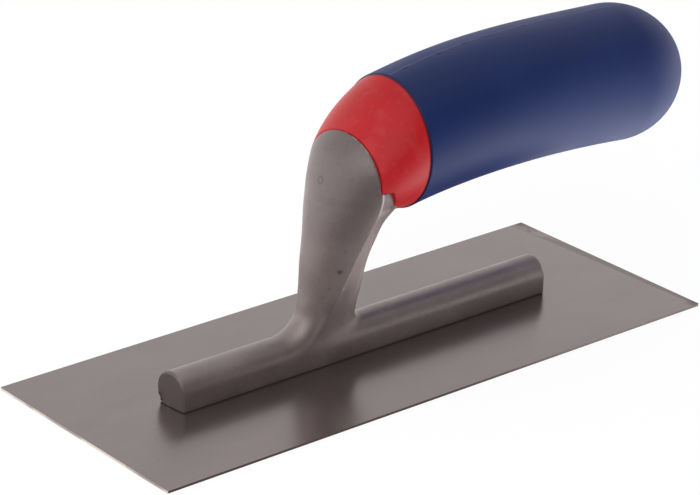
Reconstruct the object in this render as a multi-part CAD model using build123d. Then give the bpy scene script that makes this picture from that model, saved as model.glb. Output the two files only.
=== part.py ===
from build123d import *
import math
import os

# Hand trowel with a plain rectangular steel blade, a cast aluminium mounting and a two-colour handle.
# Millimetres. X runs along the blade, with the handle's free end towards +X. Y runs across it. Z is up.
# The origin is the centre of the blade's flat underside, the face the tool rests on and works with.
# Heights called "rise" are measured from the blade's top face.

# ---------------------------------------------------------------- blade
BLADE_LENGTH = 190.0
BLADE_WIDTH = 76.0
BLADE_THICKNESS = 0.7
BLADE_CORNER_RADIUS = 0.4

# ---------------------------------------------------------------- mounting bar, part of the casting
BAR_CENTRE_X = -0.7
BAR_LENGTH = 130.0
BAR_WIDTH = 10.6
BAR_HEIGHT = 10.4
BAR_EDGE_BREAK = 0.35

# ---------------------------------------------------------------- rivets through the blade into the bar
RIVET_PITCH = 23.0
RIVET_COUNT = 6
RIVET_SHANK_RADIUS = 1.6
RIVET_HEAD_RADIUS = 2.5
RIVET_LENGTH = 6.5

# ---------------------------------------------------------------- nose of the casting's shank
# Level sections: rise, X of the two side ridges, half width there, depth of the rounded nose in
# front of them, how far behind the ridges the nose's ellipse has its centre.
NOSE_SECTIONS = (
    (5.0, -16.9, 4.8, 5.2, 1.5),
    (9.0, -17.0, 4.95, 5.6, 2.2),
    (13.3, -16.8, 5.3, 6.3, 3.0),
    (20.0, -14.4, 6.8, 7.3, 3.5),
    (28.0, -11.8, 8.95, 8.8, 4.0),
    (36.0, -9.1, 11.2, 9.9, 4.5),
    (44.0, -6.7, 13.6, 10.9, 4.5),
)
# The thumb face leans back above them: each section is tipped about the ridge line.
# Tip angle, X and rise of the ridge line, half width, nose depth, ellipse centre offset.
THUMB_SECTIONS = (
    (35.0, -5.95, 48.0, 14.6, 10.8, 2.5),
    (65.0, -6.2, 50.4, 15.1, 11.8, 1.0),
    (90.0, -6.65, 51.8, 15.3, 13.1, 0.0),
)

# ---------------------------------------------------------------- foot in front of the shank
# The bar's round top turned upwards about a level axis, so it sweeps into the shank's nose.
FOOT_START_X = -30.2
FOOT_SWEEP_RADIUS = 8.2
FOOT_SWEEP_ANGLE = 80.0
FOOT_DEPTH = 6.0

# ---------------------------------------------------------------- back of the shank
# Level sections: rise, X of the ridges, half width there, X of the back face, half width of the
# back face, which spreads to nearly the full width where it runs into the collar.
BACK_SECTIONS = (
    (5.0, -16.9, 4.8, -4.1, 3.9),
    (9.0, -17.0, 4.95, -4.15, 3.9),
    (13.3, -16.8, 5.3, -4.0, 3.9),
    (20.0, -14.4, 6.8, -2.5, 4.1),
    (28.0, -11.8, 8.95, -0.4, 4.5),
    (34.0, -9.8, 10.6, 1.2, 6.0),
    (40.0, -7.9, 12.4, 1.6, 9.1),
    (44.0, -6.7, 13.6, 2.0, 12.2),
    (48.0, -6.1, 14.5, 3.6, 14.3),
    (51.5, -6.5, 15.1, 5.6, 15.0),
)
BACK_CORNER_RADIUS = 3.0
# The back stays this much inside the ridges, which leaves them a crisp edge.
RIDGE_LIP = 0.12
BACK_OVERLAP = 2.0

# ---------------------------------------------------------------- tang of the casting, inside the handle
TANG_START_X = -4.0
TANG_START_RISE = 57.0
TANG_END_X = 84.0
TANG_END_RISE = 60.5
TANG_ROOT_RADIUS = 6.0
TANG_TIP_RADIUS = 4.5

# ---------------------------------------------------------------- handle collar and core
# The soft grip seats against the collar's end face.
GRIP_START_X = 7.65
# Each oval section: X, rise of the centre, half height, half width.
COLLAR_SECTIONS = (
    (-6.5, 52.6, 12.55, 15.6),
    (0.0, 56.3, 15.4, 18.05),
    (GRIP_START_X, 58.85, 18.65, 18.45),
)
# The slot under the collar: its level top, and its rear face leaning forwards as it rises.
SLOT_FRONT_X = -30.0
SLOT_TOP_RISE = 51.9
SLOT_REAR_TOP_X = -3.5
SLOT_REAR_LEAN = 0.46
SLOT_BOTTOM_RISE = 30.0
SLOT_HALF_WIDTH = 25.0
CORE_RADIUS = 12.0
CORE_START_X = 7.0
CORE_END_X = 101.0
CORE_RISE = 60.3
CORE_END_ROUND = 5.0
SOCKET_CLEARANCE = 0.1

# ---------------------------------------------------------------- soft grip
GRIP_END_X = 115.1
GRIP_DOME_X = 90.7
GRIP_DOME_POWER = 1.875
GRIP_SIDE_TAPER = 0.1
GRIP_BODY_SECTIONS = 7
GRIP_DOME_SECTIONS = 7
GRIP_TIP_FRACTION = 0.97
# Cubic curves along the grip, in u = (X - start) / length: rise of the centre line, and half height.
GRIP_CURVE_START_X = 8.0
GRIP_CURVE_LENGTH = 100.0
GRIP_ARCH = (58.9, 17.9, -26.5, 9.2)
GRIP_SWELL = (18.6, 5.25, -9.0, 6.25)


def height(rise):
    """Height above the origin of a point given by its rise above the blade's top face."""
    return BLADE_THICKNESS + rise


def rivet_positions():
    """X of each rivet, spread evenly about the middle of the bar."""
    first = BAR_CENTRE_X - RIVET_PITCH * (RIVET_COUNT - 1) / 2
    return [first + RIVET_PITCH * index for index in range(RIVET_COUNT)]


def make_rivets():
    """Flush countersunk rivets, one solid each."""
    profile = make_face(
        Polyline(
            (0, 0),
            (RIVET_HEAD_RADIUS, 0),
            (RIVET_SHANK_RADIUS, BLADE_THICKNESS),
            (RIVET_SHANK_RADIUS, RIVET_LENGTH),
            (0, RIVET_LENGTH),
            close=True,
        )
    )
    rivet = revolve(Plane.XZ * profile, axis=Axis.Z)
    return [Pos(x, 0, 0) * rivet for x in rivet_positions()]


def make_blade(rivets):
    """Flat rectangular blade with a countersunk hole for each rivet."""
    outline = RectangleRounded(BLADE_LENGTH, BLADE_WIDTH, BLADE_CORNER_RADIUS)
    blade = extrude(outline, BLADE_THICKNESS)
    return blade - rivets


def bar_profile(x, depth):
    """Upright section of the bar at x: straight sides under a round top, reaching depth below it."""
    half = BAR_WIDTH / 2
    shoulder = height(BAR_HEIGHT - half)
    bottom = height(BAR_HEIGHT - depth)
    outline = (
        Line((-half, bottom), (half, bottom))
        + Line((half, bottom), (half, shoulder))
        + RadiusArc((half, shoulder), (-half, shoulder), -half)
        + Line((-half, shoulder), (-half, bottom))
    )
    return Plane(origin=(x, 0, 0), x_dir=(0, 1, 0), z_dir=(1, 0, 0)) * make_face(outline)


def make_bar():
    """Straight bar with upright sides, a round top and flat ends."""
    bar = extrude(bar_profile(BAR_CENTRE_X - BAR_LENGTH / 2, BAR_HEIGHT), BAR_LENGTH)
    end_edges = bar.faces().sort_by(Axis.X)[0].edges() + bar.faces().sort_by(Axis.X)[-1].edges()
    upper_edges = [edge for edge in end_edges if edge.center().Z > BLADE_THICKNESS + BAR_EDGE_BREAK]
    return fillet(upper_edges, BAR_EDGE_BREAK)


def make_foot():
    """Foot that sweeps the bar's round top up into the front of the shank."""
    axis = Axis((FOOT_START_X, 0, height(BAR_HEIGHT + FOOT_SWEEP_RADIUS)), (0, -1, 0))
    return revolve(bar_profile(FOOT_START_X, FOOT_DEPTH), axis=axis, revolution_arc=FOOT_SWEEP_ANGLE)


def nose_section(tip_angle, ridge_x, rise, half_width, depth, offset):
    """Rounded nose in front of a straight ridge-to-ridge chord, on a plane tipped about that chord."""
    tip = math.radians(tip_angle)
    plane = Plane(
        origin=(ridge_x, 0, height(rise)),
        x_dir=(0, 1, 0),
        z_dir=(math.sin(tip), 0, math.cos(tip)),
    )
    reach = depth + offset
    across = half_width / math.sqrt(1 - (offset / reach) ** 2)
    start = math.degrees(math.asin(offset / reach))
    nose = EllipticalCenterArc((0, -offset), across, reach, start, arc_size=180 - 2 * start)
    return plane * make_face(nose + Line((-half_width, 0), (half_width, 0)))


def make_nose():
    """Front of the shank: the rounded nose, running up into the leaning thumb face."""
    sections = [
        nose_section(0.0, ridge_x, rise, half_width, depth, offset)
        for rise, ridge_x, half_width, depth, offset in NOSE_SECTIONS
    ]
    sections += [nose_section(*values) for values in THUMB_SECTIONS]
    return loft(sections)


def back_section(rise, ridge_x, half_width, back_x, back_half):
    """Tapered block from just in front of the ridges to a back face with rounded corners."""
    ridge_half = half_width - RIDGE_LIP
    front_x = ridge_x - BACK_OVERLAP
    front_half = ridge_half / 2
    round_x = back_x - BACK_CORNER_RADIUS
    flat_half = back_half - BACK_CORNER_RADIUS
    outline = (
        Line((front_x, -front_half), (ridge_x, -ridge_half))
        + Line((ridge_x, -ridge_half), (round_x, -back_half))
        + RadiusArc((round_x, -back_half), (back_x, -flat_half), -BACK_CORNER_RADIUS)
        + Line((back_x, -flat_half), (back_x, flat_half))
        + RadiusArc((back_x, flat_half), (round_x, back_half), -BACK_CORNER_RADIUS)
        + Line((round_x, back_half), (ridge_x, ridge_half))
        + Line((ridge_x, ridge_half), (front_x, front_half))
        + Line((front_x, front_half), (front_x, -front_half))
    )
    return Pos(0, 0, height(rise)) * make_face(outline)


def make_back():
    """Back of the shank: slim above the bar, spreading to fill the slot under the collar."""
    return loft([back_section(*values) for values in BACK_SECTIONS])


def make_tang(extra=0.0):
    """Tapered round tang from the head of the casting into the handle, grown by extra all round."""
    start = Vector(TANG_START_X, 0, height(TANG_START_RISE))
    end = Vector(TANG_END_X, 0, height(TANG_END_RISE))
    direction = (end - start).normalized()
    length = (end - start).length + extra
    plane = Plane(origin=start, z_dir=direction)
    cone = Cone(
        TANG_ROOT_RADIUS + extra,
        TANG_TIP_RADIUS + extra,
        length,
        align=(Align.CENTER, Align.CENTER, Align.MIN),
    )
    return plane * cone


def make_casting(rivets):
    """One aluminium casting: bar, shank, thumb face and tang, with blind holes for the rivets."""
    casting = make_bar() + make_foot() + make_nose() + make_back() + make_tang()
    return casting - rivets


def collar_section(x, rise, half_height, half_width):
    """Oval section of the collar on an upright plane."""
    plane = Plane(origin=(x, 0, height(rise)), x_dir=(0, 1, 0), z_dir=(1, 0, 0))
    return plane * Ellipse(half_width, half_height)


def make_rod():
    """Round core rod that carries the soft grip."""
    rod_plane = Plane(origin=(CORE_START_X, 0, height(CORE_RISE)), x_dir=(0, 1, 0), z_dir=(1, 0, 0))
    rod = rod_plane * Cylinder(
        CORE_RADIUS,
        CORE_END_X - CORE_START_X,
        align=(Align.CENTER, Align.CENTER, Align.MIN),
    )
    return fillet(rod.faces().sort_by(Axis.X)[-1].edges(), CORE_END_ROUND)


def make_core(casting, rod):
    """Hard plastic collar and core in one piece, slotted underneath for the back of the casting."""
    collar = loft([collar_section(*values) for values in COLLAR_SECTIONS])
    slot_drop = SLOT_TOP_RISE - SLOT_BOTTOM_RISE
    slot_outline = Polyline(
        (SLOT_FRONT_X, height(SLOT_TOP_RISE)),
        (SLOT_REAR_TOP_X, height(SLOT_TOP_RISE)),
        (SLOT_REAR_TOP_X + SLOT_REAR_LEAN * slot_drop, height(SLOT_BOTTOM_RISE)),
        (SLOT_FRONT_X, height(SLOT_BOTTOM_RISE)),
        close=True,
    )
    slot = extrude(Plane.XZ * make_face(slot_outline), SLOT_HALF_WIDTH, both=True)
    return collar + rod - slot - make_tang(SOCKET_CLEARANCE) - casting


def along_grip(x):
    """Position along the grip's curves: 0 at their start, 1 one curve length further on."""
    return (x - GRIP_CURVE_START_X) / GRIP_CURVE_LENGTH


def grip_curve(coefficients, x):
    """Value at x of one of the grip's cubic curves."""
    u = along_grip(x)
    return sum(value * u**power for power, value in enumerate(coefficients))


def grip_half_height(x):
    """Half height of the grip's oval section at x, with the domed free end."""
    dome = max(0.0, (x - GRIP_DOME_X) / (GRIP_END_X - GRIP_DOME_X))
    return grip_curve(GRIP_SWELL, x) * (1 - dome**GRIP_DOME_POWER) ** (1 / GRIP_DOME_POWER)


def grip_section(x):
    """Oval section of the grip, a little narrower than high towards the free end."""
    half_height = grip_half_height(x)
    half_width = half_height * (1 - GRIP_SIDE_TAPER * along_grip(x))
    centre = height(grip_curve(GRIP_ARCH, x))
    plane = Plane(origin=(x, 0, centre), x_dir=(0, 0, 1), z_dir=(1, 0, 0))
    return plane * Ellipse(half_height, half_width)


def make_grip(rod):
    """Soft sleeve moulded over the core, with a fully rounded free end."""
    body_step = (GRIP_DOME_X - GRIP_START_X) / GRIP_BODY_SECTIONS
    positions = [GRIP_START_X + body_step * index for index in range(GRIP_BODY_SECTIONS + 1)]
    for index in range(1, GRIP_DOME_SECTIONS + 1):
        sweep = math.radians(90) * GRIP_TIP_FRACTION * index / GRIP_DOME_SECTIONS
        positions.append(GRIP_DOME_X + (GRIP_END_X - GRIP_DOME_X) * math.sin(sweep))
    tip = Vertex(GRIP_END_X, 0, height(grip_curve(GRIP_ARCH, GRIP_END_X)))
    return loft([grip_section(x) for x in positions] + [tip]) - rod


def main():
    os.makedirs("parts", exist_ok=True)
    rivets = make_rivets()
    casting = make_casting(rivets)
    rod = make_rod()
    nodes = {
        "blade": make_blade(rivets),
        "mounting_casting": casting,
        "blade_rivets": Compound(children=rivets),
        "handle_core": make_core(casting, rod),
        "soft_grip": make_grip(rod),
    }
    for name, shape in nodes.items():
        print(name, len(shape.solids()), "solid(s)", round(shape.volume, 1), "mm3", shape.is_valid)
        export_step(shape, f"parts/{name}.step")


main()
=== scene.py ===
import math

import bmesh
import bpy
import numpy as np
from mathutils import Matrix, Vector, noise


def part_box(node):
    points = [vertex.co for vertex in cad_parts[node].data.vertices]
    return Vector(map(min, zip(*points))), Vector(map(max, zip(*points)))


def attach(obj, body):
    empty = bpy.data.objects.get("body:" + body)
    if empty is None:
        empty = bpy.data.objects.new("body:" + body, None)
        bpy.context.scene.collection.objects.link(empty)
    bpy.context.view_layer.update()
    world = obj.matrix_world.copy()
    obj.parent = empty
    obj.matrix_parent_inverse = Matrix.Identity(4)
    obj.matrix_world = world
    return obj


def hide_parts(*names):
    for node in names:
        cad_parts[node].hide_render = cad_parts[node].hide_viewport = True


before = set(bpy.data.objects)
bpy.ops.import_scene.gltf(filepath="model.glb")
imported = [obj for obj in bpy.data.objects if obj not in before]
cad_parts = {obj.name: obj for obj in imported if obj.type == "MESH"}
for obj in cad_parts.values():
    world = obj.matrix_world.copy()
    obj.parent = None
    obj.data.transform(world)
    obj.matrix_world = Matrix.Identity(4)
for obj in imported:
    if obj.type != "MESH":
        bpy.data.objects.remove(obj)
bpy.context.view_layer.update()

# A hand trowel: steel blade, cast aluminium mounting, red plastic collar and blue rubber grip.
# Metres, in the frame's axes: X along the blade towards the grip's free end, Y across it, Z up.
MM = 0.001

# ---------------------------------------------------------------- places taken from the frame
BLADE_LOW, BLADE_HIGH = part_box("blade")
CORE_LOW, CORE_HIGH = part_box("handle_core")
GRIP_LOW, GRIP_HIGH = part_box("soft_grip")
RIVETS_LOW, RIVETS_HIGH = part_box("blade_rivets")
BLADE_TOP = BLADE_HIGH.z
BAR_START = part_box("mounting_casting")[0].x
BAR_END = BAR_START + 130.0 * MM


# ---------------------------------------------------------------- node helpers
class Nodes:
    """Short calls for building a node tree, where a value is a plain one or another node's socket."""

    def __init__(self, tree):
        self.tree = tree
        tree.nodes.clear()

    def add(self, kind, **settings):
        node = self.tree.nodes.new(kind)
        for key, value in settings.items():
            setattr(node, key, value)
        return node

    def link(self, source, target):
        self.tree.links.new(source, target)

    def put(self, target, value):
        """Sets a socket to a plain value, or links another socket to it."""
        if isinstance(value, bpy.types.NodeSocket):
            self.link(value, target)
        elif target.type == "RGBA":
            target.default_value = (*value, 1.0)
        else:
            target.default_value = value

    def math(self, operation, a, b=0.0, clamp=False):
        node = self.add("ShaderNodeMath", operation=operation, use_clamp=clamp)
        self.put(node.inputs[0], a)
        self.put(node.inputs[1], b)
        return node.outputs[0]

    def plus(self, a, b):
        return self.math("ADD", a, b)

    def minus(self, a, b, clamp=False):
        return self.math("SUBTRACT", a, b, clamp)

    def times(self, a, b, clamp=False):
        return self.math("MULTIPLY", a, b, clamp)

    def larger(self, a, b):
        return self.math("MAXIMUM", a, b)

    def size(self, value):
        return self.math("ABSOLUTE", value)

    def along(self, x, y, direction):
        """How far the point x, y lies along a level direction."""
        return self.plus(self.times(x, direction[0]), self.times(y, direction[1]))

    def split(self, vector):
        """The x, y and z of a vector."""
        node = self.add("ShaderNodeSeparateXYZ")
        self.link(vector, node.inputs[0])
        return node.outputs

    def ramp(self, value, low, high, to_low=0.0, to_high=1.0, kind="SMOOTHSTEP"):
        """Goes from to_low to to_high as value goes from low to high, smoothly unless told otherwise."""
        node = self.add("ShaderNodeMapRange", interpolation_type=kind)
        self.put(node.inputs["Value"], value)
        node.inputs["From Min"].default_value = low
        node.inputs["From Max"].default_value = high
        node.inputs["To Min"].default_value = to_low
        node.inputs["To Max"].default_value = to_high
        return node.outputs["Result"]

    def mix(self, factor, a, b):
        """Colour a where factor is 0 and b where it is 1. The node's sockets 6 and 7 are its colours."""
        node = self.add("ShaderNodeMix", data_type="RGBA")
        self.put(node.inputs["Factor"], factor)
        self.put(node.inputs[6], a)
        self.put(node.inputs[7], b)
        return node.outputs[2]

    def mix_values(self, factor, a, b):
        """Value a where factor is 0 and b where it is 1."""
        node = self.add("ShaderNodeMix", data_type="FLOAT")
        self.put(node.inputs["Factor"], factor)
        self.put(node.inputs["A"], a)
        self.put(node.inputs["B"], b)
        return node.outputs["Result"]

    def tint(self, base, amount, strength, colour):
        """The base colour taken towards another, by amount times strength."""
        return self.mix(self.times(amount, strength), base, colour)


class Surface(Nodes):
    """The nodes of one material, round a principled surface."""

    def __init__(self, name):
        self.material = bpy.data.materials.new(name)
        self.material.use_nodes = True
        super().__init__(self.material.node_tree)
        out = self.add("ShaderNodeOutputMaterial")
        self.surface = self.add("ShaderNodeBsdfPrincipled")
        self.link(self.surface.outputs["BSDF"], out.inputs["Surface"])
        geometry = self.add("ShaderNodeNewGeometry")
        self.position = geometry.outputs["Position"]
        self.normal = geometry.outputs["Normal"]

    def attribute(self, name):
        return self.add("ShaderNodeAttribute", attribute_name=name).outputs["Fac"]

    def noise(self, scale, detail=3.0, roughness=0.55):
        """Noise of the position, where scale is features per metre, one number or one per axis."""
        scaled = self.add("ShaderNodeVectorMath", operation="MULTIPLY")
        self.link(self.position, scaled.inputs[0])
        scaled.inputs[1].default_value = scale if isinstance(scale, tuple) else (scale, scale, scale)
        node = self.add("ShaderNodeTexNoise")
        self.link(scaled.outputs[0], node.inputs["Vector"])
        node.inputs["Scale"].default_value = 1.0
        node.inputs["Detail"].default_value = detail
        node.inputs["Roughness"].default_value = roughness
        return node.outputs["Fac"]

    def brighten(self, colour, factor):
        node = self.add("ShaderNodeVectorMath", operation="SCALE")
        self.link(colour, node.inputs[0])
        self.put(node.inputs["Scale"], factor)
        return node.outputs[0]

    def bump(self, height, distance, strength, under=None):
        """Surface relief, on top of another bump if one is given."""
        node = self.add("ShaderNodeBump")
        node.inputs["Strength"].default_value = strength
        node.inputs["Distance"].default_value = distance
        self.link(height, node.inputs["Height"])
        if under is not None:
            self.link(under, node.inputs["Normal"])
        return node.outputs["Normal"]

    def finish(self, **sockets):
        """Sets inputs of the surface, where underscores stand for spaces, and gives the material."""
        for key, value in sockets.items():
            self.put(self.surface.inputs[key.replace("_", " ")], value)
        return self.material


# ---------------------------------------------------------------- blade and rivets
# The worn strip along the heel edge is this wide at the near corner, this much wider at the far one,
# with a further flare that comes in only close to the far corner. Its inner edge wanders a little.
STRIP_WIDTH = 1.2 * MM
STRIP_SPREAD = 2.0 * MM
STRIP_FLARE = 1.0 * MM
STRIP_FLARE_POWER = 6.0
STRIP_WANDER = 0.25 * MM
# Where the strip and the line before it come in, measured from the strip's inner edge.
STRIP_EDGE = (-0.05 * MM, 0.05 * MM)
LINE_EDGE = (-0.38 * MM, -0.10 * MM)
# Pale patches on the strip come in over this stretch of its far half, from the blade's middle.
PATCHES_START = 14 * MM
PATCHES_FULL = 30 * MM
# The browned corners start and are full at these distances from the heel edge and the long edges.
CORNER_START_X = 4.0 * MM
CORNER_FULL_X = 1.2 * MM
CORNER_START_Y = 4.5 * MM
CORNER_FULL_Y = 1.5 * MM


def heel_strip(n, x, y):
    """The worn strip along the blade's heel edge, and the dark line along its inner edge."""
    share = n.math("DIVIDE", n.minus(y, BLADE_LOW.y), BLADE_HIGH.y - BLADE_LOW.y, clamp=True)
    flare = n.times(n.math("POWER", share, STRIP_FLARE_POWER), STRIP_FLARE)
    width = n.plus(n.plus(n.times(share, STRIP_SPREAD), STRIP_WIDTH), flare)
    wander = n.times(n.minus(n.noise((0.0, 260.0, 0.0)), 0.5), STRIP_WANDER)
    inside = n.minus(n.plus(x, wander), n.minus(BLADE_HIGH.x, width))
    strip = n.ramp(inside, *STRIP_EDGE)
    line = n.minus(n.ramp(inside, *LINE_EDGE), strip, clamp=True)
    return strip, line


def heel_corners(n, x, y):
    """The two browned corners at the blade's heel."""
    near_end = n.ramp(x, BLADE_HIGH.x - CORNER_START_X, BLADE_HIGH.x - CORNER_FULL_X)
    near_side = n.ramp(n.size(y), BLADE_HIGH.y - CORNER_START_Y, BLADE_HIGH.y - CORNER_FULL_Y)
    return n.times(near_end, near_side)


def blade_steel():
    """Fine-brushed steel along the blade, with cloudy tone, a worn heel strip, and edge faces painted dark
    as painted shade on the long sides and bright as a painted reflection on the short ones.
    """
    n = Surface("blade_steel")
    x, y = n.split(n.position)[:2]
    streaks = n.noise((60.0, 5200.0, 200.0), detail=4.0, roughness=0.7)
    fine = n.noise((220.0, 14000.0, 200.0), detail=2.0)
    cloud = n.noise((38.0, 60.0, 40.0), detail=4.0, roughness=0.6)
    speck = n.noise(900.0, detail=2.0)
    base = n.mix(n.ramp(cloud, 0.3, 0.7), (0.292, 0.242, 0.240), (0.318, 0.263, 0.261))
    base = n.tint(base, n.ramp(streaks, 0.35, 0.7), 0.35, (0.235, 0.198, 0.197))
    base = n.tint(base, n.ramp(speck, 0.66, 0.74), 0.10, (0.16, 0.13, 0.125))

    strip, line = heel_strip(n, x, y)
    patches = n.ramp(n.noise((300.0, 130.0, 100.0)), 0.44, 0.56)
    pale = n.times(n.times(strip, patches), n.ramp(y, PATCHES_START, PATCHES_FULL))
    base = n.tint(base, strip, 0.5, (0.205, 0.168, 0.160))
    base = n.tint(base, pale, 0.60, (0.42, 0.355, 0.32))
    base = n.tint(base, line, 0.65, (0.11, 0.085, 0.08))
    base = n.tint(base, heel_corners(n, x, y), 0.75, (0.13, 0.09, 0.078))

    # the plate's long edge faces are painted dark as painted shade, and the short ones painted bright in
    # patches as a painted reflection of the floor
    facing_x, facing_y = n.split(n.normal)[:2]
    side = n.ramp(n.size(facing_y), 0.5, 0.7)
    end = n.ramp(n.size(facing_x), 0.5, 0.7)
    # patches of the painted reflection on the short edge faces, not wear
    edge_highlight_patches = n.ramp(n.noise((0.0, 45.0, 0.0)), 0.42, 0.58)
    base = n.mix(side, base, (0.10, 0.070, 0.060))
    base = n.mix(end, base, n.mix(edge_highlight_patches, (0.50, 0.43, 0.38), (0.86, 0.78, 0.70)))

    rough = n.ramp(n.plus(n.times(streaks, 0.5), n.times(cloud, 0.5)), 0.3, 0.7, 0.20, 0.27)
    rough = n.plus(rough, n.times(strip, 0.12))
    brushing = n.add("ShaderNodeCombineXYZ")
    brushing.inputs["X"].default_value = 1.0
    normal = n.bump(fine, 0.004 * MM, 0.5, n.bump(streaks, 0.006 * MM, 0.5))
    metal = n.times(n.minus(1.0, n.larger(end, side)), 0.85)
    return n.finish(Base_Color=base, Metallic=metal, Roughness=rough, Anisotropic=0.45,
                    Tangent=brushing.outputs[0], Normal=normal)


def rivet_steel():
    """Ground rivet heads: a fine grain and a dull, cloudy tone."""
    n = Surface("rivet_steel")
    grain = n.noise(1800.0)
    base = n.mix(n.noise(300.0), (0.30, 0.28, 0.275), (0.42, 0.40, 0.39))
    rough = n.ramp(grain, 0.3, 0.7, 0.28, 0.42)
    relief = n.bump(grain, 0.02 * MM, 0.5)
    return n.finish(Base_Color=base, Metallic=1.0, Roughness=rough, Normal=relief)


# ---------------------------------------------------------------- casting material
# The bar's end faces are coloured darker: the darkening goes from full to none between these depths behind
# each end, and between these heights above the blade.
END_DARK_FULL = 0.1 * MM
END_DARK_NONE = 0.35 * MM
END_DARK_HEIGHT = 11 * MM
END_DARK_HEIGHT_NONE = 11.2 * MM
# Faces of the shank that look back towards the grip are painted paler, as painted light, coming in between
# these heights.
FLANK_START = 11 * MM
FLANK_FULL = 35 * MM
# Painted light and shade: the metal's colour is scaled lighter low down and darker high up, between these
# heights.
TONE_START = 20 * MM
TONE_END = 58 * MM
PAINTED_LIGHT_LOW_DOWN = 1.26
PAINTED_SHADE_HIGH_UP = 0.86


def dark_bar_ends(n, x, z):
    """The flat faces at the two ends of the bar, which are coloured darker."""
    start = n.ramp(x, BAR_START + END_DARK_FULL, BAR_START + END_DARK_NONE, 1.0, 0.0)
    end = n.ramp(x, BAR_END - END_DARK_NONE, BAR_END - END_DARK_FULL)
    low = n.ramp(z, BLADE_TOP + END_DARK_HEIGHT, BLADE_TOP + END_DARK_HEIGHT_NONE, 1.0, 0.0)
    return n.times(n.larger(start, end), low)


def cast_metal():
    """Satin cast aluminium: grainy, mottled and scuffed, with darker bar ends, dark pits (painted shadow
    at the bar's undercut front corner), bright chips, painted light on the faces that look back towards
    the grip, and painted light low down and painted shade high up.
    """
    n = Surface("cast_metal")
    x, _, z = n.split(n.position)
    bare = (0.80, 0.74, 0.66)
    grain = n.noise(2600.0, roughness=0.6)
    mottle = n.noise(110.0, detail=4.0, roughness=0.6)
    broad = n.noise(32.0, detail=2.0)
    freckle = n.noise(750.0, roughness=0.65)
    scuff = n.times(n.ramp(n.noise((420.0, 1700.0, 1700.0), detail=2.0), 0.60, 0.72),
                    n.ramp(n.noise(60.0), 0.45, 0.6))
    base = n.mix(n.ramp(mottle, 0.3, 0.7), (0.280, 0.234, 0.230), (0.325, 0.274, 0.270))
    base = n.tint(base, n.ramp(broad, 0.35, 0.65), 0.5, (0.290, 0.246, 0.242))
    base = n.tint(base, n.ramp(grain, 0.55, 0.75), 0.25, (0.22, 0.185, 0.18))
    base = n.tint(base, n.ramp(freckle, 0.5, 0.75), 0.50, (0.24, 0.20, 0.195))
    base = n.tint(base, scuff, 0.38, (0.42, 0.36, 0.35))

    # the bar's two end faces are coloured darker
    end_face_colour = n.mix(mottle, (0.10, 0.08, 0.08), (0.20, 0.165, 0.16))
    base = n.tint(base, dark_bar_ends(n, x, z), 0.8, end_face_colour)
    # the pits and the round mark are darkened; at the bar's undercut front corner this darkening is
    # painted shadow
    base = n.tint(base, n.attribute("pit"), 0.75, (0.09, 0.07, 0.068))
    chipped = n.times(n.attribute("rim"), n.ramp(n.noise(330.0), 0.40, 0.55), clamp=True)
    base = n.tint(base, chipped, 0.8, bare)
    # painted light on the faces of the shank that look back towards the grip
    facing_back = n.ramp(n.split(n.normal)[0], 0.04, 0.14)
    base = n.tint(base, n.times(facing_back, n.ramp(z, FLANK_START, FLANK_FULL)), 0.85, (0.72, 0.63, 0.62))
    base = n.mix(n.attribute("chip"), base, bare)
    # painted light low down and painted shade high up
    base = n.brighten(base, n.ramp(z, TONE_START, TONE_END, PAINTED_LIGHT_LOW_DOWN, PAINTED_SHADE_HIGH_UP))

    rough = n.ramp(mottle, 0.3, 0.7, 0.44, 0.54)
    normal = n.bump(grain, 0.03 * MM, 0.6, n.bump(mottle, 0.35 * MM, 0.28))
    return n.finish(Base_Color=base, Metallic=0.85, Roughness=rough, Normal=normal)


# ---------------------------------------------------------------- handle materials
# The painted shade in the crease where collar meets grip, drawn as a dark line: it comes in this far
# before the grip, and is gone this far into it.
COLLAR_SHADE_START = 0.45 * MM
COLLAR_SHADE_FULL = 0.25 * MM
LIP_SHADE_FULL = 0.10 * MM
LIP_SHADE_NONE = 0.45 * MM


def collar_plastic():
    """Satin moulded plastic, a little cloudy and dusty, with a fine skin and painted shade by the grip."""
    n = Surface("collar_plastic")
    x = n.split(n.position)[0]
    cloud = n.noise(70.0)
    skin = n.noise(3000.0, detail=2.0)
    dust = n.noise(520.0, detail=2.0)
    patch = n.noise(150.0, detail=2.0)
    base = n.mix(n.ramp(cloud, 0.3, 0.7), (0.55, 0.008, 0.012), (0.63, 0.014, 0.020))
    base = n.tint(base, n.ramp(patch, 0.50, 0.72), 0.35, (0.66, 0.07, 0.075))
    base = n.tint(base, n.ramp(dust, 0.60, 0.72), 0.12, (0.66, 0.14, 0.14))
    # painted shade in the crease just before the grip
    line = n.ramp(x, GRIP_LOW.x - COLLAR_SHADE_START, GRIP_LOW.x - COLLAR_SHADE_FULL)
    base = n.tint(base, line, 0.7, (0.05, 0.004, 0.02))
    rough = n.ramp(cloud, 0.3, 0.7, 0.38, 0.48)
    normal = n.bump(skin, 0.02 * MM, 0.35, n.bump(cloud, 0.3 * MM, 0.12))
    return n.finish(Base_Color=base, Roughness=rough, Specular_IOR_Level=0.36, Normal=normal)


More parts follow.
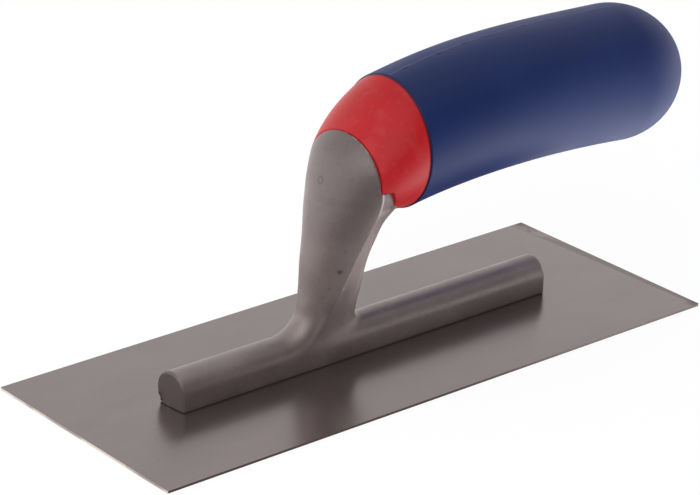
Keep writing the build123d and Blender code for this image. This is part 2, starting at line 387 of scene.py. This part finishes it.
def grip_rubber():
    """Soft-touch rubber: fine matt skin, rubbed patches, a flecked paler seam and painted shade on the
    front lip.
    """
    n = Surface("grip_rubber")
    x = n.split(n.position)[0]
    cloud = n.noise(55.0)
    skin = n.noise(2400.0)
    rubbed = n.noise(260.0)
    base = n.mix(n.ramp(cloud, 0.3, 0.7), (0.006, 0.023, 0.126), (0.008, 0.027, 0.143))
    base = n.tint(base, n.ramp(rubbed, 0.58, 0.75), 0.25, (0.015, 0.034, 0.145))
    base = n.tint(base, n.attribute("seam_pale"), 0.5, (0.10, 0.10, 0.22))
    base = n.tint(base, n.attribute("seam_dark"), 0.9, (0.002, 0.004, 0.03))
    # painted shade on the front lip, in the crease by the collar
    lip = n.ramp(x, GRIP_LOW.x + LIP_SHADE_FULL, GRIP_LOW.x + LIP_SHADE_NONE, 1.0, 0.0)
    base = n.tint(base, lip, 0.85, (0.014, 0.006, 0.035))
    facing = n.add("ShaderNodeLayerWeight").outputs["Facing"]
    shine = n.ramp(facing, 0.50, 0.93, 0.30, 0.03)
    rough = n.ramp(cloud, 0.3, 0.7, 0.46, 0.52)
    return n.finish(Base_Color=base, Roughness=rough, Specular_IOR_Level=shine,
                    Normal=n.bump(skin, 0.03 * MM, 0.35),
                    Sheen_Weight=0.09, Sheen_Roughness=0.45, Sheen_Tint=(0.66, 0.64, 0.90))


# ---------------------------------------------------------------- soft grip
GRIP_START = GRIP_LOW.x
GRIP_TIP = GRIP_HIGH.x
CURVE_START = CORE_LOW.x + 14.5 * MM
CURVE_LENGTH = 100 * MM
DOME_START = CURVE_START + 82.7 * MM
DOME_POWER = 1.875
# Cubics along the curve, in millimetres: the middle's height above the blade, and the half height.
GRIP_ARCH = (58.9, 17.9, -26.5, 9.2)
GRIP_SWELL = (18.6, 5.25, -9.0, 6.25)
# The half width is the half height, less this share by the curve's end.
GRIP_SIDE_TAPER = 0.1
GRIP_MEAN_RADIUS = 19 * MM
# The bore for the core.
BORE_RADIUS = 12.05 * MM
BORE_CENTRE = BLADE_TOP + 60.3 * MM
BORE_END = CORE_HIGH.x + 0.05 * MM
# The moulding seam runs along the top and bottom, and drifts off the middle towards the tip.
SEAM_HEIGHT = 0.12 * MM
SEAM_HALF_WIDTH = 0.34 * MM
SEAM_DRIFT = 0.07
# The front lip is rounded, and the sleeve flares a little towards it.
LIP_RADIUS = 0.5 * MM
LIP_FLARE = 0.34 * MM
LIP_FLARE_LENGTH = 7.0 * MM
# Mesh density, and how closely the points round the grip are packed towards the seams.
GRIP_AROUND = 320
LIP_RINGS = 8
BODY_RINGS = 150
DOME_RINGS = 60
SEAM_PACKING = 0.45
QUARTER_TURN = math.pi / 2


def cubic(coefficients, u):
    return sum(value * u**power for power, value in enumerate(coefficients))


def grip_section(x):
    """Centre height, half height and half width of the grip at x, in metres."""
    u = (x - CURVE_START) / CURVE_LENGTH
    centre = BLADE_TOP + cubic(GRIP_ARCH, u) * MM
    half = cubic(GRIP_SWELL, u) * MM
    dome = min(1.0, max(0.0, (x - DOME_START) / (GRIP_TIP - DOME_START)))
    half *= (1 - dome**DOME_POWER) ** (1 / DOME_POWER)
    return centre, half, half * (1 - GRIP_SIDE_TAPER * u)


def drift(x, per_metre, row=0.0):
    """Smooth noise along the grip, about -1 to 1, different in each row."""
    return noise.noise(Vector((x * per_metre, row, 0.0)))


def bell(distance, width):
    return math.exp(-((distance / width) ** 2))


def seam_shape(x, angle):
    """Height of the moulding seam, its paler line and the scuffed flecks beside it, each 0 to 1."""
    along = (x - GRIP_START) / (GRIP_TIP - GRIP_START)
    middle = math.copysign(QUARTER_TURN + SEAM_DRIFT * along**2, math.sin(angle))
    off = (angle - middle + math.pi) % (2 * math.pi) - math.pi
    across = off * GRIP_MEAN_RADIUS
    ragged = 0.6 + 0.8 * drift(x, 260) + 0.4 * drift(x, 1300, 4.0)
    ridge = bell(across, SEAM_HALF_WIDTH)
    line = bell(across + 0.15 * MM, 1.5 * SEAM_HALF_WIDTH)
    fleck = bell(across - 0.35 * MM, SEAM_HALF_WIDTH) * max(0.0, 2.2 * drift(x, 420, 9.0) - 0.15)
    return ridge * max(0.0, ragged), line * min(1.0, max(0.0, ragged + 0.2)), min(1.0, fleck)


def grip_angles():
    """Angles round the grip, packed closely either side of the two seams."""
    even = [2 * math.pi * index / GRIP_AROUND for index in range(GRIP_AROUND)]
    return [turn + SEAM_PACKING * math.sin(2 * turn) for turn in even]


def join_rings(bm, first, second):
    """A band of faces between two rings of points."""
    for i in range(GRIP_AROUND):
        j = (i + 1) % GRIP_AROUND
        bm.faces.new((first[i], first[j], second[j], second[i]))


def close_ring(bm, ring, middle):
    """A fan of faces from a ring of points to one point."""
    for i in range(GRIP_AROUND):
        bm.faces.new((ring[i], ring[(i + 1) % GRIP_AROUND], middle))


def make_grip():
    """The grip's sleeve: domed outer skin, rounded front lip and the bore for the core."""
    bm = bmesh.new()
    pale = bm.verts.layers.float.new("seam_pale")
    dark = bm.verts.layers.float.new("seam_dark")
    angles = grip_angles()

    def skin_ring(x, shrink=0.0, seam=1.0):
        """Outer ring at x, drawn in by shrink, with this share of the seam."""
        centre, half_height, half_width = grip_section(x)
        flare = LIP_FLARE * math.exp(-(x - GRIP_START) / LIP_FLARE_LENGTH)
        verts = []
        for angle in angles:
            ridge, line, fleck = seam_shape(x, angle)
            rise = SEAM_HEIGHT * (ridge - fleck) * seam - shrink + flare
            across = (half_width + rise) * math.cos(angle)
            vert = bm.verts.new((x, across, centre + (half_height + rise) * math.sin(angle)))
            vert[pale] = line * seam
            vert[dark] = fleck * seam
            verts.append(vert)
        return verts

    def bore_ring(x):
        verts = []
        for angle in angles:
            across = BORE_RADIUS * math.cos(angle)
            verts.append(bm.verts.new((x, across, BORE_CENTRE + BORE_RADIUS * math.sin(angle))))
        return verts

    rings = []
    for index in range(LIP_RINGS):
        turn = QUARTER_TURN * index / LIP_RINGS
        x = GRIP_START + LIP_RADIUS * (1 - math.cos(turn))
        rings.append(skin_ring(x, shrink=LIP_RADIUS * (1 - math.sin(turn)), seam=0.0))
    body_start = GRIP_START + LIP_RADIUS
    for index in range(BODY_RINGS):
        rings.append(skin_ring(body_start + (DOME_START - body_start) * index / BODY_RINGS))
    for index in range(DOME_RINGS):
        turn = QUARTER_TURN * index / DOME_RINGS
        x = DOME_START + (GRIP_TIP - DOME_START) * math.sin(turn)
        rings.append(skin_ring(x, seam=1.0 - index / DOME_RINGS))
    tip = bm.verts.new((GRIP_TIP, 0.0, grip_section(GRIP_TIP)[0]))
    for first, second in zip(rings, rings[1:]):
        join_rings(bm, first, second)
    close_ring(bm, rings[-1], tip)

    mouth = bore_ring(GRIP_START)
    deep = bore_ring(BORE_END)
    bottom = bm.verts.new((BORE_END, 0.0, BORE_CENTRE))
    join_rings(bm, mouth, rings[0])
    join_rings(bm, deep, mouth)
    close_ring(bm, deep, bottom)
    bmesh.ops.recalc_face_normals(bm, faces=bm.faces)

    mesh = bpy.data.meshes.new("grip_sleeve")
    bm.to_mesh(mesh)
    bm.free()
    shade_smooth(mesh)
    return add_object("grip_sleeve", mesh)


# ---------------------------------------------------------------- casting skin
VOXEL = 0.30 * MM
# Where the shank stands on the bar.
SHANK_X = BAR_START + 51.0 * MM
# Corners are filled this far from the shank's middle along the bar and up from the blade, and for a
# further reach, over the last part of which the filling fades out. It comes in just above the blade.
FOOT_REACH = 11 * MM
FILL_REACH = 9 * MM
FILL_FADE = 6 * MM
FILL_BASE = 1.5 * MM
FILL_BASE_FADE = 3 * MM
# Smoothing steps, how often the normals are taken again, how far a step moves a point, and how much
# outside edges wear compared with the filling of inside corners.
SMOOTH_STEPS = 210
NORMALS_EVERY = 5
STEP_SHARE = 0.5
WEAR_SHARE = 0.35
# The first few steps smooth the whole casting, to take the voxels' stairs out.
EARLY_STEPS = 3
EARLY_STRENGTH = 0.8
# Points this near a rivet's axis, up to this far above its end, are on its hole, which keeps its size.
RIVET_COUNT = 6
RIVET_HOLE_REACH = 2.2 * MM
RIVET_HOLE_MARGIN = 0.6 * MM
# Above this height the casting is grown a little, which closes its seam with the collar.
HEAD_HEIGHT = 48 * MM
HEAD_FADE = 2 * MM
HEAD_GROWTH = 0.11 * MM
# The bar's front end is cut a little out of square, turning on its near side.
TOE_SKEW = 0.085
TOE_PIVOT = 5 * MM
TOE_LENGTH = 6 * MM
TOE_FADE = 5 * MM

# Marks are placed from the shank's foot or the bar's front end, at the blade's top face.
SHANK_FOOT = np.array((SHANK_X, 0.0, BLADE_TOP))
BAR_FRONT = np.array((BAR_START, 0.0, BLADE_TOP))


def mark_at(origin, x, y, z):
    """The place this many millimetres from an origin."""
    return origin + np.array((x, y, z)) * MM


# Each pit: place, radius and depth. The last one is the undercut lower corner of the bar's front end,
# whose darkening in the material is painted shadow.
PITS = (
    (mark_at(SHANK_FOOT, -0.3, -7.8, 28.1), 0.95 * MM, 0.20 * MM),
    (mark_at(SHANK_FOOT, 0.1, -7.95, 28.3), 0.80 * MM, 0.18 * MM),
    (mark_at(SHANK_FOOT, -2.3, -6.2, 23.4), 0.9 * MM, 0.09 * MM),
    (mark_at(SHANK_FOOT, -3.7, -5.2, 20.9), 0.8 * MM, 0.06 * MM),
    (mark_at(SHANK_FOOT, 0.4, -6.9, 23.1), 0.7 * MM, 0.11 * MM),
    (mark_at(BAR_FRONT, -0.5, 4.9, 0.6), 2.6 * MM, 0.9 * MM),
)
PIT_CORE_SHARE = 0.6
# A pit's outline is uneven by this share, in waves of this many radians per metre up and across.
PIT_UNEVENNESS = 0.25
PIT_WAVES_UP = 2600
PIT_WAVES_ACROSS = 3100
# A pit this deep or deeper is marked at full strength.
PIT_FULL_DEPTH = 0.2 * MM
# A shallow round mark near the top of the nose.
RING_PLACE = mark_at(SHANK_FOOT, -0.5, 0.2, 52.9)
RING_RADIUS = 0.9 * MM
RING_HALF_WIDTH = 0.3 * MM
RING_DEPTH = 0.11 * MM
RING_MARK = 0.38
# Small bright chips, on the bar's front end and on the shank's ridge: place, radius and brightness.
BRIGHT_CHIPS = (
    (mark_at(BAR_FRONT, -0.5, 1.0, 0.25), 0.50 * MM, 0.20),
    (mark_at(SHANK_FOOT, 2.1, -7.05, 22.6), 0.42 * MM, 0.75),
)
# The casting's rim beside the collar is chipped high up, between these distances to the near side.
RIM_X = CORE_LOW.x - 0.75 * MM
RIM_X_FADE = 0.3 * MM
RIM_HEIGHT = 60.5 * MM
RIM_INNER_Y = 2.5 * MM
RIM_OUTER_Y = 10.5 * MM
RIM_FADE = 1.0 * MM


def rising(values, start, width):
    """0 below start, going straight up to 1 over the width."""
    return np.clip((values - start) / width, 0, 1)


def distance_to(points, place):
    return np.linalg.norm(points - place, axis=1)


def read_vectors(mesh, name):
    """Each vertex's "co" or "normal", one row for each."""
    values = np.empty(len(mesh.vertices) * 3)
    mesh.vertices.foreach_get(name, values)
    return values.reshape(-1, 3)


def write_points(mesh, points):
    mesh.vertices.foreach_set("co", points.ravel())
    mesh.update()


def write_attribute(mesh, name, values):
    attribute = mesh.attributes.new(name, "FLOAT", "POINT")
    attribute.data.foreach_set("value", values)


def off_rivet_holes(points):
    """1 for each point clear of the rivets' blind holes, 0 for a point on one."""
    head = RIVETS_HIGH.y
    axes = np.linspace(RIVETS_LOW.x + head, RIVETS_HIGH.x - head, RIVET_COUNT)
    along = np.abs(points[:, 0, None] - axes).min(axis=1)
    reach = np.hypot(along, points[:, 1])
    on_hole = (reach < RIVET_HOLE_REACH) & (points[:, 2] < RIVETS_HIGH.z + RIVET_HOLE_MARGIN)
    return np.where(on_hole, 0.0, 1.0)


def near_foot(points):
    """How close each point is to the corners round the shank's foot, 0 to 1."""
    rise = points[:, 2] - BLADE_TOP
    along = np.maximum(np.abs(points[:, 0] - SHANK_X) - FOOT_REACH, 0)
    away = np.hypot(along, np.maximum(rise - FOOT_REACH, 0))
    near = np.clip((FILL_REACH - away) / FILL_FADE, 0, 1) * rising(rise, FILL_BASE, FILL_BASE_FADE)
    return near * near * (3 - 2 * near)


def soften(mesh):
    """Spreads each point towards its neighbours, filling inside corners more than it wears edges."""
    points = read_vectors(mesh, "co")
    edges = np.empty(len(mesh.edges) * 2, dtype=np.int64)
    mesh.edges.foreach_get("vertices", edges)
    first, second = edges.reshape(-1, 2).T
    ends = np.concatenate((first, second))
    others = np.concatenate((second, first))
    count = len(points)
    degree = np.bincount(ends, minlength=count)

    def mean_of_neighbours(values):
        sums = [np.bincount(ends, weights=values[others, axis], minlength=count) for axis in range(3)]
        return np.stack(sums, axis=1) / degree[:, None]

    near = near_foot(points)
    free = off_rivet_holes(points)
    for step in range(SMOOTH_STEPS):
        shift = mean_of_neighbours(points) - points
        if step % NORMALS_EVERY == 0:
            write_points(mesh, points)
            normals = read_vectors(mesh, "normal")
        outward = (shift * normals).sum(axis=1) > 0
        early = EARLY_STRENGTH if step < EARLY_STEPS else 0.0
        fill = np.maximum(near, early) * free
        wear = np.maximum(near * WEAR_SHARE, early) * free
        points += shift * np.where(outward, fill, wear)[:, None] * STEP_SHARE
    write_points(mesh, points)


def press_marks(points, normals):
    """Presses the pits and the round mark into the points, and gives how strongly each is marked."""
    depth = np.zeros(len(points))
    mark = np.zeros(len(points))
    for place, radius, deep in PITS:
        away = points - place
        waves = np.sin(away[:, 2] * PIT_WAVES_UP + place[0] / MM) * np.cos(away[:, 1] * PIT_WAVES_ACROSS)
        ragged = 1 + PIT_UNEVENNESS * waves
        core = radius * PIT_CORE_SHARE
        near = np.exp(-((np.linalg.norm(away, axis=1) * ragged / core) ** 2))
        depth += near * deep
        mark = np.maximum(mark, near * min(1.0, deep / PIT_FULL_DEPTH))
    off_ring = distance_to(points, RING_PLACE) - RING_RADIUS
    ring = np.exp(-((off_ring / RING_HALF_WIDTH) ** 2))
    depth += ring * RING_DEPTH
    points -= normals * depth[:, None]
    return np.maximum(mark, ring * RING_MARK)


def chipped_rim(points):
    """Where the casting's rim beside the collar may be chipped, 0 to 1."""
    x, y, z = points.T
    across = rising(-y, RIM_INNER_Y, RIM_FADE) * rising(y, -RIM_OUTER_Y, RIM_FADE)
    return rising(x, RIM_X, RIM_X_FADE) * rising(z, RIM_HEIGHT, RIM_FADE) * across


def bright_chips(points):
    chip = np.zeros(len(points))
    for place, radius, bright in BRIGHT_CHIPS:
        near = np.exp(-((distance_to(points, place) / radius) ** 2))
        chip = np.maximum(chip, bright * near)
    return chip


def wear_and_mark(mesh):
    """Adds the pits, the grown head and the uneven front end, and marks points for the material."""
    points = read_vectors(mesh, "co")
    normals = read_vectors(mesh, "normal")
    mark = press_marks(points, normals)
    head = rising(points[:, 2], HEAD_HEIGHT, HEAD_FADE)
    points += normals * (head * HEAD_GROWTH)[:, None]
    toe = np.clip((BAR_START + TOE_LENGTH - points[:, 0]) / TOE_FADE, 0, 1)
    points[:, 0] -= toe * TOE_SKEW * (points[:, 1] + TOE_PIVOT)
    write_points(mesh, points)
    write_attribute(mesh, "pit", mark)
    write_attribute(mesh, "rim", chipped_rim(points))
    write_attribute(mesh, "chip", bright_chips(points))


def make_casting_skin():
    """The casting with inside corners filled and outside edges softened, as poured metal has them."""
    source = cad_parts["mounting_casting"]
    skin = add_object("casting_skin", source.data.copy())
    skin.matrix_world = source.matrix_world.copy()
    remesh = skin.modifiers.new("voxels", "REMESH")
    remesh.mode = "VOXEL"
    remesh.voxel_size = VOXEL
    graph = bpy.context.evaluated_depsgraph_get()
    mesh = bpy.data.meshes.new_from_object(skin.evaluated_get(graph))
    mesh.name = "casting_skin"
    mesh.transform(skin.matrix_world)
    skin.modifiers.clear()
    skin.matrix_world = Matrix.Identity(4)
    skin.data = mesh
    soften(mesh)
    wear_and_mark(mesh)
    shade_smooth(mesh)
    return skin


# ---------------------------------------------------------------- putting the pieces together
def add_object(name, data):
    added = bpy.data.objects.new(name, data)
    bpy.context.scene.collection.objects.link(added)
    return added


def shade_smooth(mesh):
    for polygon in mesh.polygons:
        polygon.use_smooth = True


def set_material(piece, material):
    piece.data.materials.clear()
    piece.data.materials.append(material)


def put_in_place(piece, material, node):
    """Gives a piece its material and lets it stand for a CAD node."""
    set_material(piece, material)
    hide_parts(node)
    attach(piece, "root")


def build():
    put_in_place(make_grip(), grip_rubber(), "soft_grip")
    set_material(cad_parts["blade"], blade_steel())
    put_in_place(make_casting_skin(), cast_metal(), "mounting_casting")
    set_material(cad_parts["blade_rivets"], rivet_steel())
    set_material(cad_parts["handle_core"], collar_plastic())


# ---------------------------------------------------------------- floor
FLOOR_HALF_SIZE = 3.0
FLOOR_DROP = 0.02 * MM
# Level directions from the origin, along which the floor's bright and dim areas are laid out.
TOWARDS_CAMERA = (-0.64, -0.77)
AWAY_FROM_CAMERA = (0.64, 0.77)
RIGHTWARDS = (0.77, -0.64)
LEFT_AND_BACK = (-0.74, 0.67)
# Each pair is where a change starts and ends along its direction, in metres.
RIGHT_FRONT_EDGE = (0.035, 0.085)
RIGHT_START = (0.02, 0.075)
RIGHT_FAR_EDGE = (0.14, 0.24)
LEFT_START = (0.14, 0.26)
BEHIND_START = (0.05, 0.10)
DIM_START = (0.02, 0.12)
RIGHT_GLOW = 1.5
RIGHT_FAR_SHARE = 0.35
LEFT_GLOW = 0.68
BEHIND_GLOW = 1.0
SEEN_GLOW = 0.888
SCATTERED_GLOW = 0.58


def unseen_glow(n, x, y):
    """The floor's glow for all but the camera: right of the tool, behind it, and far left."""
    towards = n.along(x, y, TOWARDS_CAMERA)
    rightwards = n.along(x, y, RIGHTWARDS)
    right = n.times(n.ramp(towards, *RIGHT_FRONT_EDGE, 1.0, 0.0),
                    n.ramp(rightwards, *RIGHT_START, 0.0, RIGHT_GLOW))
    right = n.times(right, n.ramp(rightwards, *RIGHT_FAR_EDGE, 1.0, RIGHT_FAR_SHARE))
    left = n.ramp(n.along(x, y, LEFT_AND_BACK), *LEFT_START, 0.0, LEFT_GLOW)
    behind = n.ramp(n.along(x, y, AWAY_FROM_CAMERA), *BEHIND_START, 0.0, BEHIND_GLOW)
    return n.larger(n.plus(right, left), behind)


def floor_white():
    """Floor that looks plain white to the camera but isn't even for the light off the tool.

    Reflections see it glow in some areas, and darker towards the camera, where it doesn't glow. Light
    scattered from matt surfaces sees the same with a further glow all over. Together these stand in
    for the unseen lights and screens of a studio.
    """
    n = Surface("floor_white")
    x, y = n.split(n.position)[:2]
    path = n.add("ShaderNodeLightPath")
    seen = path.outputs["Is Camera Ray"]
    glow = n.mix_values(seen, unseen_glow(n, x, y), SEEN_GLOW)
    glow = n.plus(glow, n.times(path.outputs["Is Diffuse Ray"], SCATTERED_GLOW))
    base = n.mix(n.noise(3.0), (0.78, 0.78, 0.78), (0.80, 0.80, 0.80))
    dim = n.times(n.ramp(n.along(x, y, TOWARDS_CAMERA), *DIM_START), n.minus(1.0, seen))
    base = n.mix(dim, base, (0.42, 0.38, 0.38))
    base = n.mix(seen, base, (0.17, 0.17, 0.17))
    return n.finish(Base_Color=base, Roughness=0.9, Specular_IOR_Level=0.0,
                    Emission_Color=(1.0, 1.0, 1.0), Emission_Strength=glow)


def make_floor():
    half = FLOOR_HALF_SIZE
    low = BLADE_LOW.z - FLOOR_DROP
    corners = [(-half, -half, low), (half, -half, low), (half, half, low), (-half, half, low)]
    mesh = bpy.data.meshes.new("floor")
    mesh.from_pydata(corners, [], [(0, 1, 2, 3)])
    floor = add_object("floor", mesh)
    set_material(floor, floor_white())


# ---------------------------------------------------------------- light and camera
# The studio is brightest in this direction and dimmest opposite, and weakens higher up.
BRIGHTEST = (-0.12, 0.78, 0.61)
BRIGHT_SPREAD = 0.55
DIM_LEVEL = 0.07
BRIGHT_LEVEL = 1.08
DIM_TINT = (1.0, 0.84, 0.83)
HIGH_START = 0.22
HIGH_END = 0.60
HIGH_LEVEL = 0.58

CAMERA_AZIMUTH = -39.90
CAMERA_ELEVATION = 23.20
CAMERA_ROLL = 1.041
CAMERA_DISTANCE = 928.246 * MM
CAMERA_AIM = Vector((40.901, 54.624, 0.0)) * MM + Vector((0, 0, BLADE_TOP))
# Focal length in picture widths, and the sensor's width in millimetres.
FOCAL_LENGTH = 3103.218 / 700
SENSOR_WIDTH = 36.0


def make_world():
    """Studio light: bright above and behind, dim and warmer on the camera's side.

    The camera itself sees it at full strength.
    """
    world = bpy.data.worlds.new("studio")
    bpy.context.scene.world = world
    world.use_nodes = True
    n = Nodes(world.node_tree)
    direction = n.add("ShaderNodeTexCoord").outputs["Generated"]
    dot = n.add("ShaderNodeVectorMath", operation="DOT_PRODUCT")
    n.link(direction, dot.inputs[0])
    dot.inputs[1].default_value = Vector(BRIGHTEST).normalized()
    share = n.ramp(dot.outputs["Value"], -BRIGHT_SPREAD, BRIGHT_SPREAD, DIM_LEVEL, BRIGHT_LEVEL)
    high = n.ramp(n.split(direction)[2], HIGH_START, HIGH_END, 1.0, HIGH_LEVEL, kind="LINEAR")
    seen = n.add("ShaderNodeLightPath").outputs["Is Camera Ray"]
    background = n.add("ShaderNodeBackground")
    n.put(background.inputs["Color"], n.mix(share, DIM_TINT, (1.0, 1.0, 1.0)))
    n.put(background.inputs["Strength"], n.mix_values(seen, n.times(share, high), 1.0))
    n.link(background.outputs["Background"], n.add("ShaderNodeOutputWorld").inputs["Surface"])


def make_light(name, location, target, size, power):
    """Square soft light aimed at a point, in metres and watts."""
    data = bpy.data.lights.new(name, "AREA")
    data.shape = "SQUARE"
    data.size = size
    data.energy = power
    light = add_object(name, data)
    light.location = location
    light.rotation_euler = (Vector(target) - Vector(location)).to_track_quat("-Z", "Y").to_euler()


def make_camera():
    """Long lens from the front left, a little above, as the object was seen."""
    azimuth = math.radians(CAMERA_AZIMUTH)
    elevation = math.radians(CAMERA_ELEVATION)
    roll = math.radians(CAMERA_ROLL)
    back = Vector((math.sin(azimuth) * math.cos(elevation),
                   -math.cos(azimuth) * math.cos(elevation),
                   math.sin(elevation)))
    right = Vector((math.cos(azimuth), math.sin(azimuth), 0.0))
    up = back.cross(right)
    turned_right = right * math.cos(roll) + up * math.sin(roll)
    turned_up = up * math.cos(roll) - right * math.sin(roll)
    data = bpy.data.cameras.new("camera")
    data.sensor_width = SENSOR_WIDTH
    data.lens = FOCAL_LENGTH * SENSOR_WIDTH
    data.clip_start, data.clip_end = 0.05, 20.0
    camera = add_object("camera", data)
    basis = Matrix((turned_right, turned_up, back)).transposed().to_4x4()
    camera.matrix_world = Matrix.Translation(CAMERA_AIM + back * CAMERA_DISTANCE) @ basis
    bpy.context.scene.camera = camera


build()
make_floor()
make_world()
make_light("key", location=(-0.75, -0.62, 0.95), target=(0, 0, 0.03), size=1.2, power=4.0)
make_light("side", location=(0.98, -0.42, 0.06), target=(0, 0, 0.04), size=0.6, power=0.5)
make_camera()
bpy.context.scene.view_settings.view_transform = "Standard"
